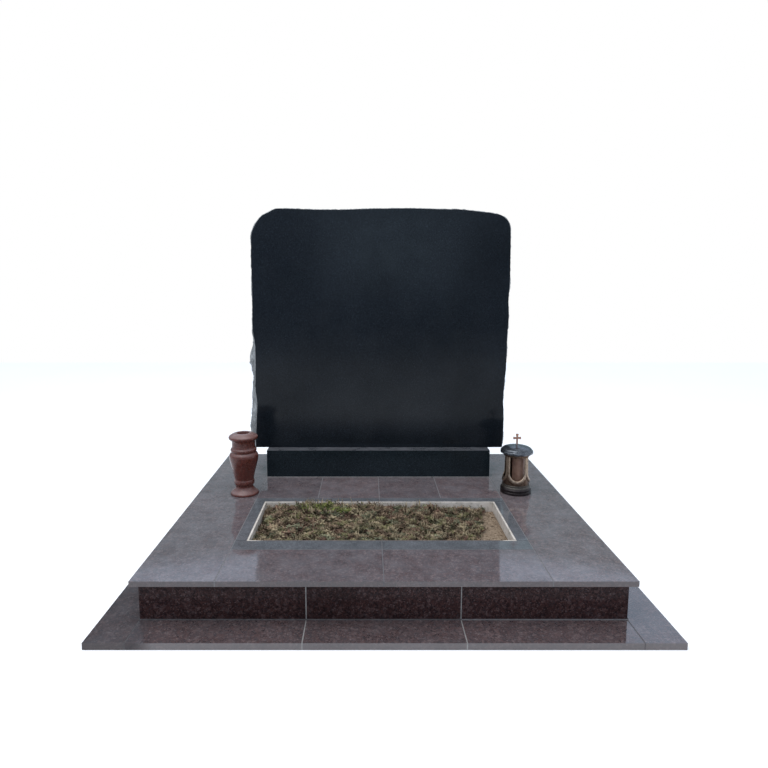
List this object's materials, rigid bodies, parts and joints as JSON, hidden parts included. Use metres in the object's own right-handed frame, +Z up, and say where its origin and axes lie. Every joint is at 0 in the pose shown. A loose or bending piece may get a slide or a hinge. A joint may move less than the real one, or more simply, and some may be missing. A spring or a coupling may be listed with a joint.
{
  "type": "headstone",
  "caption": "Black headstone with rock-pitched edges on a low base, standing on a tiled granite kerb with a planted bed, a stone vase and a grave lantern.",
  "frame": {"origin": "middle of the underside, on the ground", "axes": "+X to the right seen from the front, +Y to the back, +Z up; the face of the headstone looks along -Y"},
  "size_m": [2.08, 1.859, 1.6452],
  "materials": {
    "black_granite": "mirror polished faces, rough pitched edges",
    "brown_granite": "polished",
    "grey_granite": "polished",
    "red_granite": "polished",
    "concrete": "rough",
    "soil": "rough",
    "plants": "matte",
    "bronze": "satin",
    "dark_metal": "satin",
    "gilt": "satin",
    "lantern_glass": "clear tinted"
  },
  "bodies": {
    "root": {"border_back_1": "grey_granite", "border_back_2": "grey_granite", "border_front_1": "grey_granite", "border_front_2": "grey_granite", "border_left": "grey_granite", "border_right": "grey_granite", "concrete_kerb": "concrete", "cover_back_1": "brown_granite", "cover_back_2": "brown_granite", "cover_back_3": "brown_granite", "cover_back_4": "brown_granite", "cover_front_1": "brown_granite", "cover_front_2": "brown_granite", "cover_left_1": "brown_granite", "cover_left_2": "brown_granite", "cover_left_3": "brown_granite", "cover_rear_1": "brown_granite", "cover_rear_2": "brown_granite", "cover_rear_3": "brown_granite", "cover_rear_4": "brown_granite", "cover_right_1": "brown_granite", "cover_right_2": "brown_granite", "cover_right_3": "brown_granite", "ground_cover": "plants", "headstone": "black_granite", "headstone_base": "black_granite", "kerb_back_1": "brown_granite", "kerb_back_2": "brown_granite", "kerb_back_3": "brown_granite", "kerb_front_1": "brown_granite", "kerb_front_2": "brown_granite", "kerb_front_3": "brown_granite", "kerb_left_1": "brown_granite", "kerb_left_2": "brown_granite", "kerb_left_3": "brown_granite", "kerb_right_1": "brown_granite", "kerb_right_2": "brown_granite", "kerb_right_3": "brown_granite", "lantern_base": "dark_metal", "lantern_body": "bronze", "lantern_cross": "gilt", "lantern_glass": "lantern_glass", "lantern_lid": "dark_metal", "platform_back_1": "brown_granite", "platform_back_2": "brown_granite", "platform_back_3": "brown_granite", "platform_front_1": "brown_granite", "platform_front_2": "brown_granite", "platform_front_3": "brown_granite", "platform_left_1": "brown_granite", "platform_left_2": "brown_granite", "platform_left_3": "brown_granite", "platform_left_4": "brown_granite", "platform_right_1": "brown_granite", "platform_right_2": "brown_granite", "platform_right_3": "brown_granite", "platform_right_4": "brown_granite", "soil": "soil", "vase": "red_granite"}
  },
  "joints": []
}
